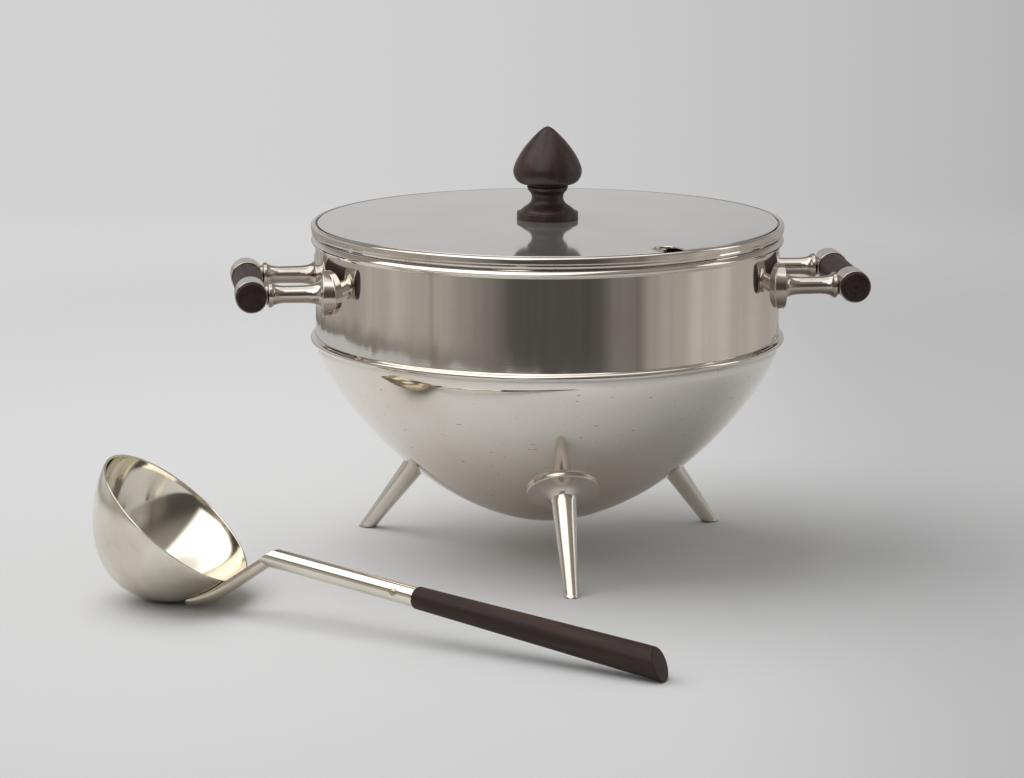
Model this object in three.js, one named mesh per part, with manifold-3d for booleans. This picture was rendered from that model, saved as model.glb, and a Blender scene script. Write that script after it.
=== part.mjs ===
// A silver-plated soup tureen on three splayed legs, with a flat lid that lifts out,
// two ebony-rod handles, and the ladle that belongs to it lying beside it.
// Millimetres, +Z up. The tureen's own axis is x = y = 0 inside its group, its handles
// point along +X and -X, and one foot points along -Y. The exported group is moved so
// that its origin is the centre of the whole set on the surface it stands on.

import * as THREE from 'three';
import { mergeVertices } from 'three/addons/utils/BufferGeometryUtils.js';
import Module from 'manifold-3d';

const wasm = await Module();
wasm.setup();

// ---------------------------------------------------------------- driving dimensions

const GAP = 0.3; // clearance between two pieces that touch
const SHEET = 1.2; // thickness of the raised sheet metal
const ROUND_STEPS = 48; // facets around the body

// Body, from the bottom up
const BOWL_RADIUS = 115.3;
const BOWL_DEPTH = 89.5;
const BOWL_SHOULDER_Z = 104.6; // height where the bowl turns upright
const BOWL_TOP_Z = 109.0;
const BOWL_POWER_DOWN = 1.272; // how fast the bowl draws in
const BOWL_POWER_ROUND = 1.772; // 2 is an ellipse
const BAND_RADIUS = 115.9;
const BAND_TOP_Z = 161.2;
const WAIST_BEAD_RADIUS = 118.5;
const WAIST_BEAD_Z = 109.3;
const WAIST_BEAD_HEIGHT = 4.4;
const RIM_BEAD_RADIUS = 117.9;
const RIM_BEAD_Z = 158.9;
const RIM_BEAD_HEIGHT = 4.2;
const RIM_RADIUS = 118.0;
const RIM_TOP_Z = 167.3;

// Lid
const LID_RADIUS = 115.0;
const LID_THICKNESS = 2.1;
const LID_UNDERSIDE_Z = 165.3;
const LID_CROWN = 1.2; // rise of the lid's middle over its edge
const LID_SEAT_CLEARANCE = 0.5; // around the lid's edge
const BEZEL_RADIUS = 110.0; // locating ring under the lid
const BEZEL_HEIGHT = 10.0;
const BEZEL_THICKNESS = 1.2;
const NOTCH_ANGLE = -65; // degrees from +X, where the ladle stem leaves the lid
const NOTCH_HALF_WIDTH = 6.4;
const NOTCH_CENTRE_RADIUS = 107.2; // centre of the slot's round end
const LIP_THICKNESS = 0.8; // strip that lines the notch
const LIP_PROUD = 0.6;

// Finial and its fixing
const FINIAL_HEIGHT = 46.2;
const STUD_RADIUS = 2.0;
const STUD_REACH = 14.0; // how far the stud goes up into the finial
const WASHER_RADIUS = 7.0;
const WASHER_THICKNESS = 1.0;
const WASHER_RISE = 0.7; // into the dome of the lid, above the underside of its edge
const NUT_ACROSS_CORNERS = 9.0;
const NUT_THICKNESS = 3.2;

// Handles
const ARM_SPACING = 59.6; // between the two arms of one handle
const ARM_RADIUS = 4.4;
const ARM_Z = 137.3;
const ROD_X = 149.3; // from the tureen's axis to the rod's axis
const ROD_RADIUS = 7.3;
const ROD_LENGTH = 80.0;
const SLEEVE_RADIUS = 8.0;
const SLEEVE_WIDTH = 15.0;
const ESCUTCHEON_RADIUS = 11.3;
const ESCUTCHEON_FACE_X = 115.2; // outer face of the disc

// Feet
const FOOT_ANGLES = { front: -90, right: 28.4, left: 147.6 }; // degrees from +X, set by hand
const FLANGE_RADIUS = 18.0;
const FLANGE_CENTRE_RADIUS = 68.5; // from the axis, where the flange meets the bowl
const FLANGE_EDGE = 1.1; // height of the flange's edge over the bowl at its centre
const FLANGE_HEIGHT = 5.2;
const LEG_TOP_RADIUS = 6.4;
const LEG_FOOT_RADIUS = 3.6;
const FOOT_SPREAD = 104.0; // radius of the circle that the feet stand on

// Ladle, in its own frame: cup rim in the plane z = 0, stem over +X
const CUP_RADIUS = 43.1;
const CUP_DEPTH = 42.6;
const CUP_POWER = 1.36; // 2 is an ellipse, 1 a paraboloid
const CUP_SHEET = 1.1;
const NECK_LEAN = 16; // degrees away from upright, above the cup's rim
const BEND_RISE = 25.0; // height of the bend over the cup's rim
const STEM_RADIUS = 4.75;
const STEM_SLOPE = 32.3; // degrees above the plane of the cup's rim
const STEM_LENGTH = 84.0;
const GRIP_START_RADIUS = 5.3;
const GRIP_END_RADIUS = 7.2;
const GRIP_LENGTH = 130.3; // along its axis, to the middle of the slanted end
const GRIP_END_SLANT = 29; // degrees
const TENON_RADIUS = 3.4;
const TENON_LENGTH = 20.0;
const RIVET_FROM_GRIP = 10.2;
const RIVET_RADIUS = 1.1;
const RIVET_HEAD_RADIUS = 1.8;

// Where the ladle lies, seen from the tureen
const LADLE_CUP_X = -188.5;
const LADLE_CUP_Y = -91.1;
const LADLE_YAW = -48.6; // degrees, direction that the stem points in
const LADLE_TILT = 36.7; // degrees, how far the cup leans towards the stem
const LADLE_ROLL = -19.2; // degrees, how far it lies over on its side

// ---------------------------------------------------------------- materials

const silver = new THREE.MeshStandardMaterial({ color: 0xc9c4bc, roughness: 0.16, metalness: 1 });
const satinSilver = new THREE.MeshStandardMaterial({ color: 0xbdb6ac, roughness: 0.32, metalness: 1 });
const legSilver = new THREE.MeshStandardMaterial({ color: 0xc2b9a8, roughness: 0.2, metalness: 1 });
const ladleSilver = new THREE.MeshStandardMaterial({ color: 0xcdc6b0, roughness: 0.18, metalness: 1 });
const ebony = new THREE.MeshStandardMaterial({ color: 0x3a302e, roughness: 0.45, metalness: 0 });
const brass = new THREE.MeshStandardMaterial({ color: 0xb89a55, roughness: 0.3, metalness: 1 });

// ---------------------------------------------------------------- geometry helpers

const radians = THREE.MathUtils.degToRad;

function asSolid(geometry) {
  const bare = geometry.clone();
  bare.deleteAttribute('normal');
  bare.deleteAttribute('uv');
  const merged = mergeVertices(bare, 1e-4);
  return new wasm.Manifold(new wasm.Mesh({
    numProp: 3,
    vertProperties: new Float32Array(merged.attributes.position.array),
    triVerts: new Uint32Array(merged.index.array),
  }));
}

function asGeometry(solid) {
  const { vertProperties, triVerts } = solid.getMesh();
  const geometry = new THREE.BufferGeometry();
  geometry.setAttribute('position', new THREE.BufferAttribute(new Float32Array(vertProperties), 3));
  geometry.setIndex(new THREE.BufferAttribute(new Uint32Array(triVerts), 1));
  geometry.computeVertexNormals();
  return geometry;
}

function cut(geometry, ...tools) {
  return asGeometry(tools.reduce((solid, tool) => solid.subtract(asSolid(tool)), asSolid(geometry)));
}

function join(...geometries) {
  return asGeometry(geometries.map(asSolid).reduce((a, b) => a.add(b)));
}

// A [radius, height] outline, counter-clockwise with the radius to the right, turned
// about +Z. It starts and ends on the axis, or closes on itself.
function turned(outline, steps = ROUND_STEPS) {
  const points = outline.map(([radius, height]) => new THREE.Vector2(radius, height));
  return new THREE.LatheGeometry(points, steps).rotateX(Math.PI / 2);
}

function closed(outline) {
  return [...outline, outline[0]];
}

// A plain round bar from z = bottom to z = top.
function bar(radius, bottom, top, steps = 16) {
  return turned([[0, bottom], [radius, bottom], [radius, top], [0, top]], steps);
}

// A plain tube from z = bottom to z = top.
function tube(inside, outside, bottom, top, steps = ROUND_STEPS) {
  return turned(closed([[inside, bottom], [outside, bottom], [outside, top], [inside, top]]), steps);
}

// A closed skin over rings of the same number of points, with a flat cap on each end.
// Each ring runs counter-clockwise when seen from the last ring.
function lofted(rings) {
  const count = rings[0].length;
  const points = rings.flat();
  const faces = [];
  for (let ring = 0; ring + 1 < rings.length; ring += 1) {
    for (let i = 0; i < count; i += 1) {
      const a = ring * count + i;
      const b = ring * count + ((i + 1) % count);
      faces.push(a, b, b + count, a, b + count, a + count);
    }
  }
  const last = (rings.length - 1) * count;
  for (let i = 1; i + 1 < count; i += 1) {
    faces.push(0, i + 1, i);
    faces.push(last, last + i, last + i + 1);
  }
  const geometry = new THREE.BufferGeometry().setFromPoints(points);
  geometry.setIndex(faces);
  geometry.computeVertexNormals();
  return geometry;
}

function named(name, geometry, material) {
  const mesh = new THREE.Mesh(geometry, material);
  mesh.name = name;
  return mesh;
}

// ---------------------------------------------------------------- body of the tureen

// Outer radius and height of the bowl at a fraction 0 (shoulder) to 1 (bottom).
function bowlPoint(fraction, inset = 0) {
  const sink = Math.sin((fraction * Math.PI) / 2);
  const round = (1 - sink ** BOWL_POWER_DOWN) ** (1 / BOWL_POWER_ROUND);
  return [(BOWL_RADIUS - inset) * round, BOWL_SHOULDER_Z - (BOWL_DEPTH - inset) * sink];
}

function bowlSurface(inset, steps) {
  return Array.from({ length: steps + 1 }, (_, i) => bowlPoint(i / steps, inset));
}

function bowl() {
  const outside = bowlSurface(0, 12).reverse();
  const inside = bowlSurface(SHEET, 10);
  outside[0][0] = 0;
  inside[inside.length - 1][0] = 0;
  return turned([...outside, [BOWL_RADIUS, BOWL_TOP_Z], [BOWL_RADIUS - SHEET, BOWL_TOP_Z], ...inside]);
}

function collarBand() {
  const inside = BAND_RADIUS - SHEET;
  const bottom = BOWL_TOP_Z + GAP;
  return tube(inside, BAND_RADIUS, bottom, BAND_TOP_Z);
}

// A half-round moulding wrapped on the outside of the band.
function bead(radius, middle, height) {
  const inside = BAND_RADIUS + GAP;
  const lip = inside + 0.6;
  const half = height / 2;
  return turned(closed([
    [inside, middle - half],
    [lip, middle - half],
    [radius - 0.4, middle - half * 0.6],
    [radius, middle],
    [radius - 0.4, middle + half * 0.6],
    [lip, middle + half],
    [inside, middle + half],
  ]));
}

// The rim ring stands on the band and holds the lid on an inner ledge.
function rimRing() {
  const bottom = BAND_TOP_Z + GAP;
  const ledge = LID_UNDERSIDE_Z - GAP;
  const seat = LID_RADIUS + LID_SEAT_CLEARANCE;
  const throat = BEZEL_RADIUS + LID_SEAT_CLEARANCE;
  return turned(closed([
    [throat, bottom],
    [RIM_RADIUS - 1.2, bottom],
    [RIM_RADIUS - 0.3, bottom + 1.0],
    [RIM_RADIUS - 0.3, bottom + 2.2],
    [RIM_RADIUS, bottom + 2.6],
    [RIM_RADIUS, RIM_TOP_Z - 0.7],
    [RIM_RADIUS - 0.7, RIM_TOP_Z],
    [seat, RIM_TOP_Z],
    [seat, ledge],
    [throat, ledge],
  ]));
}

// ---------------------------------------------------------------- handles, made for the +X side

const bandCore = bar(BAND_RADIUS + GAP, 0, RIM_TOP_Z, ROUND_STEPS);

// Puts a piece that was turned about +Z on an arm's axis, pointing away from the band.
function onArm(geometry, side) {
  return geometry.rotateY(Math.PI / 2).translate(0, side * ARM_SPACING / 2, ARM_Z);
}

function escutcheon(side) {
  const edge = 0.6;
  const face = ESCUTCHEON_FACE_X;
  const disc = turned([
    [0, BAND_RADIUS * 0.85],
    [ESCUTCHEON_RADIUS, BAND_RADIUS * 0.85],
    [ESCUTCHEON_RADIUS, face - edge],
    [ESCUTCHEON_RADIUS - edge, face],
    [0, face],
  ], 24);
  return cut(onArm(disc, side), bandCore);
}

// One arm: a bar that flares on to its disc, a collar, and the sleeve around the rod.
function handleArm(side) {
  const start = ESCUTCHEON_FACE_X + GAP;
  const collar = ROD_X - SLEEVE_RADIUS - 1.4;
  const barPiece = onArm(turned([
    [0, start],
    [ARM_RADIUS + 2.9, start],
    [ARM_RADIUS + 1.2, start + 1.6],
    [ARM_RADIUS + 0.35, start + 4.0],
    [ARM_RADIUS, start + 7.0],
    [ARM_RADIUS, collar - 4.0],
    [ARM_RADIUS + 0.6, collar - 1.6],
    [ARM_RADIUS + 1.8, collar],
    [ARM_RADIUS + 1.8, collar + 1.8],
    [ARM_RADIUS + 0.3, collar + 3.4],
    [0, collar + 3.4],
  ], 16), side);
  const middle = side * ARM_SPACING / 2;
  const sleeve = bar(SLEEVE_RADIUS, -SLEEVE_WIDTH / 2, SLEEVE_WIDTH / 2, 24);
  const bore = bar(ROD_RADIUS + GAP, -SLEEVE_WIDTH, SLEEVE_WIDTH, 24);
  const place = (geometry) => geometry.rotateX(Math.PI / 2).translate(ROD_X, middle, ARM_Z);
  return cut(join(barPiece, place(sleeve)), place(bore));
}

function handleRod() {
  const half = ROD_LENGTH / 2;
  const rod = turned([
    [0, -half],
    [ROD_RADIUS - 1.2, -half],
    [ROD_RADIUS, -half + 1.2],
    [ROD_RADIUS, half - 1.2],
    [ROD_RADIUS - 1.2, half],
    [0, half],
  ], 24);
  return rod.rotateX(Math.PI / 2).translate(ROD_X, 0, ARM_Z);
}

// The handle on +X, or the same handle turned half round for -X.
function handle(name, turn) {
  const group = new THREE.Group();
  const sides = [['front', -1], ['rear', 1]];
  for (const [place, side] of sides) {
    group.add(named(`${name}_${place}_escutcheon`, escutcheon(side * turn), silver));
    group.add(named(`${name}_${place}_arm`, handleArm(side * turn), silver));
  }
  group.add(named(`${name}_rod`, handleRod(), ebony));
  group.rotation.z = turn > 0 ? 0 : Math.PI;
  return group;
}

// ---------------------------------------------------------------- feet, made for the +X side

// The bowl's fraction at which its radius is FLANGE_CENTRE_RADIUS, found by halving.
function flangeFraction() {
  let low = 0;
  let high = 1;
  for (let i = 0; i < 40; i += 1) {
    const middle = (low + high) / 2;
    if (bowlPoint(middle)[0] > FLANGE_CENTRE_RADIUS) low = middle;
    else high = middle;
  }
  return low;
}

const flangeAt = flangeFraction();
const [flangeR, flangeZ] = bowlPoint(flangeAt);
const [beforeR, beforeZ] = bowlPoint(flangeAt - 0.01);
const flangeTilt = Math.atan2(beforeZ - flangeZ, beforeR - flangeR); // slope of the bowl there

// Moves a piece turned about +Z, which points down and out, on to the flange's axis.
function onFlange(geometry) {
  return geometry.rotateY(Math.PI - flangeTilt).translate(flangeR, 0, flangeZ);
}

const bowlCore = turned([
  ...bowlSurface(-GAP, 16).reverse().map(([radius, height], i) => [i === 0 ? 0 : radius, height]),
  [0, BOWL_SHOULDER_Z],
]);

function footFlange() {
  const dish = turned([
    [0, -6],
    [FLANGE_RADIUS - 0.6, -6],
    [FLANGE_RADIUS, FLANGE_EDGE - 1.2],
    [FLANGE_RADIUS - 0.3, FLANGE_EDGE - 0.3],
    [FLANGE_RADIUS - 1.2, FLANGE_EDGE],
    [LEG_TOP_RADIUS + 5.0, FLANGE_EDGE + 0.7],
    [LEG_TOP_RADIUS + 2.4, FLANGE_EDGE + 1.5],
    [LEG_TOP_RADIUS + 0.8, FLANGE_EDGE + 2.7],
    [LEG_TOP_RADIUS, FLANGE_HEIGHT],
    [0, FLANGE_HEIGHT],
  ], 24);
  return cut(onFlange(dish), bowlCore);
}

// The leg tapers from the flange's round end to a foot cut level with the floor.
function leg() {
  const sides = 20;
  const out = new THREE.Vector3(Math.sin(flangeTilt), 0, -Math.cos(flangeTilt));
  const top = new THREE.Vector3(flangeR, 0, flangeZ).addScaledVector(out, FLANGE_HEIGHT + GAP);
  const lean = Math.atan2(FOOT_SPREAD - top.x, top.z);
  const ring = (centre, radiusX, radiusY, slope) => Array.from({ length: sides }, (_, i) => {
    const angle = (-2 * Math.PI * i) / sides;
    const along = radiusX * Math.cos(angle);
    const across = radiusY * Math.sin(angle);
    return new THREE.Vector3(along * Math.cos(slope), across, along * Math.sin(slope)).add(centre);
  });
  const foot = new THREE.Vector3(FOOT_SPREAD, 0, 0);
  const upper = top.clone().lerp(foot, 0.22);
  const upperRadius = THREE.MathUtils.lerp(LEG_TOP_RADIUS, LEG_FOOT_RADIUS, 0.3);
  return lofted([
    ring(top, LEG_TOP_RADIUS, LEG_TOP_RADIUS, flangeTilt),
    ring(upper, upperRadius, upperRadius, lean),
    ring(foot, LEG_FOOT_RADIUS / Math.cos(lean), LEG_FOOT_RADIUS, 0),
  ]);
}

// ---------------------------------------------------------------- lid

const notchAngle = radians(NOTCH_ANGLE);

// A U-shaped slot cutter, open outwards, around the notch's centre.
function notchCutter(halfWidth, bottom, top) {
  const round = bar(halfWidth, bottom, top, 24).translate(NOTCH_CENTRE_RADIUS, 0, 0);
  const length = LID_RADIUS * 1.1 - NOTCH_CENTRE_RADIUS;
  const slot = new THREE.BoxGeometry(length, 2 * halfWidth, top - bottom);
  slot.translate(NOTCH_CENTRE_RADIUS + length / 2, 0, (top + bottom) / 2);
  return join(round, slot).rotateZ(notchAngle);
}

// Rise of the lid's gentle dome at a distance from the axis.
function crown(radius) {
  return LID_CROWN * (1 - (radius / LID_RADIUS) ** 2);
}

function lidPlate() {
  const hole = STUD_RADIUS + GAP;
  const flatFrom = BEZEL_RADIUS - BEZEL_THICKNESS - 1;
  const domed = [hole, WASHER_RADIUS + 1, 35, 60, 85, flatFrom];
  const below = domed.map((radius) => [radius, LID_UNDERSIDE_Z + crown(radius) - crown(flatFrom)]);
  const above = domed.map((radius) => [radius, LID_UNDERSIDE_Z + LID_THICKNESS + crown(radius)]);
  const top = LID_UNDERSIDE_Z + LID_THICKNESS;
  const edge = [[LID_RADIUS, LID_UNDERSIDE_Z], [LID_RADIUS, top - 0.5], [LID_RADIUS - 0.5, top]];
  const plate = turned(closed([...below, ...edge, ...above.reverse()]));
  return cut(plate, notchCutter(NOTCH_HALF_WIDTH, LID_UNDERSIDE_Z - 1, top + 1));
}

function lidBezel() {
  const top = LID_UNDERSIDE_Z - GAP;
  const bottom = top - BEZEL_HEIGHT;
  const inside = BEZEL_RADIUS - BEZEL_THICKNESS;
  const ring = tube(inside, BEZEL_RADIUS, bottom, top);
  return cut(ring, notchCutter(NOTCH_HALF_WIDTH + GAP, bottom - 1, top + 1));
}

// The strip that lines the notch and stands a little proud of the lid.
function notchLip() {
  const bottom = LID_UNDERSIDE_Z;
  const top = LID_UNDERSIDE_Z + LID_THICKNESS + LIP_PROUD;
  const outside = NOTCH_HALF_WIDTH - GAP;
  const lidEdge = bar(LID_RADIUS - 0.4, bottom, top, ROUND_STEPS);
  const block = asSolid(notchCutter(outside, bottom, top)).intersect(asSolid(lidEdge));
  return asGeometry(block.subtract(asSolid(notchCutter(outside - LIP_THICKNESS, bottom - 1, top + 1))));
}

function finial() {
  const base = LID_UNDERSIDE_Z + LID_THICKNESS + LID_CROWN + GAP;
  const bore = STUD_RADIUS + GAP;
  const outline = [
    [0, STUD_REACH + 1],
    [bore, STUD_REACH + 1],
    [bore, 0],
    [15.3, 0],
    [15.3, 3.0],
    [13.9, 3.9],
    [11.4, 5.6],
    [8.4, 7.8],
    [7.9, 11.4],
    [10.1, 14.2],
    [10.1, 16.9],
    [13.3, 17.5],
    [15.2, 18.9],
    [16.6, 21.0],
    [17.1, 23.5],
    [16.6, 26.2],
    [14.9, 30.2],
    [12.5, 34.3],
    [9.3, 38.3],
    [5.3, 42.4],
    [3.0, 44.4],
    [0, FINIAL_HEIGHT],
  ];
  return turned(outline.map(([radius, height]) => [radius, base + height]), 28);
}

const washerTop = LID_UNDERSIDE_Z + WASHER_RISE;
const nutTop = washerTop - WASHER_THICKNESS - GAP;

function finialStud() {
  return bar(STUD_RADIUS, nutTop - NUT_THICKNESS - 1.5, LID_UNDERSIDE_Z + LID_THICKNESS + STUD_REACH);
}

function finialWasher() {
  return tube(STUD_RADIUS + GAP, WASHER_RADIUS, washerTop - WASHER_THICKNESS, washerTop, 24);
}

function finialNut() {
  return tube(STUD_RADIUS + GAP, NUT_ACROSS_CORNERS / 2, nutTop - NUT_THICKNESS, nutTop, 6);
}

// ---------------------------------------------------------------- ladle

const neckLean = radians(NECK_LEAN);
const stemSlope = radians(STEM_SLOPE);
const neckFootX = CUP_RADIUS + GAP; // where the neck's flat passes the cup's rim
const bend = new THREE.Vector3(neckFootX + BEND_RISE * Math.tan(neckLean), 0, BEND_RISE);

// Outer radius of the cup at a depth under its rim.
function cupRadius(depth, inset = 0) {
  const fraction = Math.min(depth / (CUP_DEPTH - inset), 1);
  return (CUP_RADIUS - inset) * Math.sqrt(1 - fraction ** CUP_POWER);
}

function cupSide(inset, steps) {
  return Array.from({ length: steps + 1 }, (_, i) => {
    const depth = (CUP_DEPTH - inset) * Math.sin((i / steps) * (Math.PI / 2));
    return [i === steps ? 0 : cupRadius(depth, inset), -depth];
  });
}

function ladleCup() {
  return turned([...cupSide(0, 9).reverse(), ...cupSide(CUP_SHEET, 8)], 36);
}

// The stem's frame: z along the stem, from the bend.
function onStem(geometry) {
  return geometry.rotateY(Math.PI / 2 - stemSlope).translate(bend.x, 0, bend.z);
}

// The neck's section is a half round of varying radius, its flat towards the cup. It lies
// along the cup's underside, rises straight past the rim and ends under the stem.
function ladleNeck() {
  const sections = [[-22, 1.0], [-18.5, 2.5], [-14, 3.3], [-9, 3.8], [-4.5, 4.0]]; // height, radius
  const path = sections.map(([height]) => new THREE.Vector3(cupRadius(-height) + GAP, 0, height));
  path.push(new THREE.Vector3(neckFootX, 0, 0), bend);
  sections.push([0, 4.1], [BEND_RISE, 3.5]);
  const steps = 8;
  const rings = path.map((point, i) => {
    const before = path[Math.max(i - 1, 0)];
    const after = path[Math.min(i + 1, path.length - 1)];
    const along = after.clone().sub(before).normalize();
    const away = new THREE.Vector3(along.z, 0, -along.x);
    const [height, radius] = sections[i];
    const clear = height < 0 ? radius ** 2 / (2 * CUP_RADIUS) : 0; // the cup is round, the flat is not
    return Array.from({ length: steps + 1 }, (_, k) => {
      const angle = (Math.PI * k) / steps - Math.PI / 2;
      const offset = away.clone().multiplyScalar(radius * Math.cos(angle) + clear);
      return offset.add(point).add(new THREE.Vector3(0, radius * Math.sin(angle), 0));
    });
  });
  const stemClearance = onStem(bar(STEM_RADIUS + GAP, -20, STEM_LENGTH, 24));
  return cut(lofted(rings), stemClearance);
}

// A pin across the stem, shared by the cross holes and the rivet.
function acrossStem(geometry) {
  return onStem(geometry.rotateX(Math.PI / 2).translate(0, 0, STEM_LENGTH - RIVET_FROM_GRIP));
}

// The stem's upper end is trimmed flush with the neck's flat face.
function ladleStem() {
  const rod = onStem(bar(STEM_RADIUS, -12, STEM_LENGTH, 24));
  const socket = onStem(bar(TENON_RADIUS + GAP, STEM_LENGTH - TENON_LENGTH - 1, STEM_LENGTH + 1, 24));
  const crossHole = acrossStem(bar(RIVET_RADIUS + GAP, -10, 10, 12));
  const trim = new THREE.BoxGeometry(60, 40, 80).translate(-30, 0, 0);
  trim.rotateY(neckLean).translate(bend.x, 0, bend.z);
  return cut(rod, socket, crossHole, trim);
}

function ladleGrip() {
  const start = STEM_LENGTH + GAP;
  const end = STEM_LENGTH + GRIP_LENGTH;
  const overrun = GRIP_END_RADIUS * Math.tan(radians(GRIP_END_SLANT)) + 2;
  const body = onStem(turned([
    [0, start - TENON_LENGTH],
    [TENON_RADIUS, start - TENON_LENGTH],
    [TENON_RADIUS, start],
    [GRIP_START_RADIUS - 0.8, start],
    [GRIP_START_RADIUS, start + 1.2],
    [GRIP_END_RADIUS, end - 10],
    [GRIP_END_RADIUS, end + overrun],
    [0, end + overrun],
  ], 24));
  const slant = new THREE.BoxGeometry(60, 60, 60).translate(0, 0, 30);
  slant.rotateY(-radians(GRIP_END_SLANT)).translate(0, 0, end);
  return cut(body, onStem(slant), acrossStem(bar(RIVET_RADIUS + GAP, -10, 10, 12)));
}

function ladleRivet() {
  const head = STEM_RADIUS + GAP;
  return acrossStem(turned([
    [0, -head - 1.1],
    [RIVET_HEAD_RADIUS * 0.6, -head - 0.9],
    [RIVET_HEAD_RADIUS, -head],
    [RIVET_RADIUS, -head],
    [RIVET_RADIUS, head],
    [RIVET_HEAD_RADIUS, head],
    [RIVET_HEAD_RADIUS * 0.6, head + 0.9],
    [0, head + 1.1],
  ], 16));
}

// ---------------------------------------------------------------- assembly

const tureen = new THREE.Group();
tureen.add(named('bowl', bowl(), satinSilver));
tureen.add(named('collar_band', collarBand(), silver));
tureen.add(named('waist_bead', bead(WAIST_BEAD_RADIUS, WAIST_BEAD_Z, WAIST_BEAD_HEIGHT), silver));
tureen.add(named('rim_bead', bead(RIM_BEAD_RADIUS, RIM_BEAD_Z, RIM_BEAD_HEIGHT), silver));
tureen.add(named('rim_ring', rimRing(), silver));
tureen.add(handle('right_handle', 1));
tureen.add(handle('left_handle', -1));

for (const [place, angle] of Object.entries(FOOT_ANGLES)) {
  const foot = new THREE.Group();
  foot.add(named(`${place}_foot_flange`, footFlange(), legSilver));
  foot.add(named(`${place}_foot_leg`, leg(), legSilver));
  foot.rotation.z = radians(angle);
  tureen.add(foot);
}

const lid = new THREE.Group();
lid.add(named('lid_plate', lidPlate(), silver));
lid.add(named('lid_bezel', lidBezel(), silver));
lid.add(named('notch_lip', notchLip(), silver));
lid.add(named('finial', finial(), ebony));
lid.add(named('finial_stud', finialStud(), brass));
lid.add(named('finial_washer', finialWasher(), silver));
lid.add(named('finial_nut', finialNut(), brass));

const ladle = new THREE.Group();
ladle.add(named('ladle_cup', ladleCup(), ladleSilver));
ladle.add(named('ladle_neck', ladleNeck(), ladleSilver));
ladle.add(named('ladle_stem', ladleStem(), ladleSilver));
ladle.add(named('ladle_grip', ladleGrip(), ebony));
ladle.add(named('ladle_rivet', ladleRivet(), brass));
ladle.rotation.set(radians(LADLE_ROLL), radians(LADLE_TILT), radians(LADLE_YAW), 'ZYX');
ladle.position.set(LADLE_CUP_X, LADLE_CUP_Y, 0);
ladle.position.z = -new THREE.Box3().setFromObject(ladle, true).min.z;

const set = new THREE.Group();
set.add(tureen, lid, ladle);
const middle = new THREE.Box3().setFromObject(set, true).getCenter(new THREE.Vector3());
set.position.set(-middle.x, -middle.y, 0);

export default set;
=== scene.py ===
"""A silver-plated soup tureen on three splayed legs, its lid, and its ladle, in a plain studio.

Lengths are in millimetres until a mesh is made, and metres after that.
"""

from math import acos, atan2, cos, hypot, pi, radians, sin, sqrt, tan

import bmesh
import bpy
from mathutils import Matrix, Vector


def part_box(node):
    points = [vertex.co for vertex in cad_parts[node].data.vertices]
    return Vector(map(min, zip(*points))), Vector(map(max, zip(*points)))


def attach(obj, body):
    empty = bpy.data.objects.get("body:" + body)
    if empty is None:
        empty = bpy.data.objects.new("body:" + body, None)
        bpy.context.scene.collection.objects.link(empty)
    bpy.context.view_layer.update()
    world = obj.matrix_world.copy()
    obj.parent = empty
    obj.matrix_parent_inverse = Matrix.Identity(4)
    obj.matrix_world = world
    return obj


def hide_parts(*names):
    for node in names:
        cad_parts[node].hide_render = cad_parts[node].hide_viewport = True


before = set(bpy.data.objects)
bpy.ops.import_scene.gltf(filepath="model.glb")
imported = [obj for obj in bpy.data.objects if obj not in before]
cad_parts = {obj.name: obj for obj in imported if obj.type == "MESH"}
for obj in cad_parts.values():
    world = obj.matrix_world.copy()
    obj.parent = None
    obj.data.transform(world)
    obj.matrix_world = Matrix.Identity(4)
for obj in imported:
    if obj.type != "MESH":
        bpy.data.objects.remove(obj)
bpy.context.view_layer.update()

MM = 0.001


def middle(node):
    """The middle of a CAD node's box, in millimetres."""
    low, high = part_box(node)
    return (low + high) / 2 / MM


AXIS = middle("collar_band")
AXIS.z = 0.0
PLACE = Matrix.Translation(AXIS)  # from the tureen's own axis to the frame, in millimetres

# ---------------------------------------------------------------- sizes, as in the CAD model

BOWL_RADIUS, BOWL_DEPTH = 115.3, 89.5
BOWL_BULGE_POWER, BOWL_SINK_POWER = 1.772, 1.272  # how full the bowl's outline is, 2 and 2 for an ellipse
SHOULDER_Z, BOWL_TOP_Z = 104.6, 109.0
SHEET = 1.2
BAND_RADIUS, BAND_TOP_Z = 115.9, 161.2
WAIST_RADIUS, WAIST_Z, WAIST_HEIGHT = 118.5, 109.3, 4.4
RIM_BEAD_RADIUS, RIM_BEAD_Z, RIM_BEAD_HEIGHT, RIM_BEAD_TOP_POWER = 117.9, 158.9, 4.2, 1 / 0.6
RIM_RADIUS, RIM_TOP_Z = 118.0, 167.3

LID_RADIUS, LID_Z, LID_THICKNESS, LID_CROWN = 115.0, 165.3, 2.1, 1.2
SEAT_RADIUS, THROAT_RADIUS = 115.5, 110.5
BEZEL_RADIUS, BEZEL_HEIGHT, BEZEL_THICKNESS = 110.0, 10.0, 1.2
STUD_HOLE = 2.3
NOTCH_ANGLE, NOTCH_RADIUS, NOTCH_HALF = -65.0, 107.2, 6.4

ARM_SIDE, ARM_Z, ARM_RADIUS = 29.8, 137.3, 4.4
ROD_X, ROD_RADIUS, ROD_HALF = 149.3, 7.3, 40.0
SLEEVE_RADIUS, SLEEVE_HALF = 8.0, 7.5
DISC_RADIUS, DISC_FACE = 11.3, 114.6  # the face lies 0.6 further in than in the CAD model

FOOT_ANGLES = {"front": -90.0, "right": 28.4, "left": 147.6}
FLANGE_RADIUS, FLANGE_AT, FLANGE_EDGE, FLANGE_HEIGHT = 18.0, 68.5, 1.1, 5.2
LEG_TOP, LEG_FOOT, FOOT_SPREAD = 6.4, 3.6, 104.0

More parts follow.
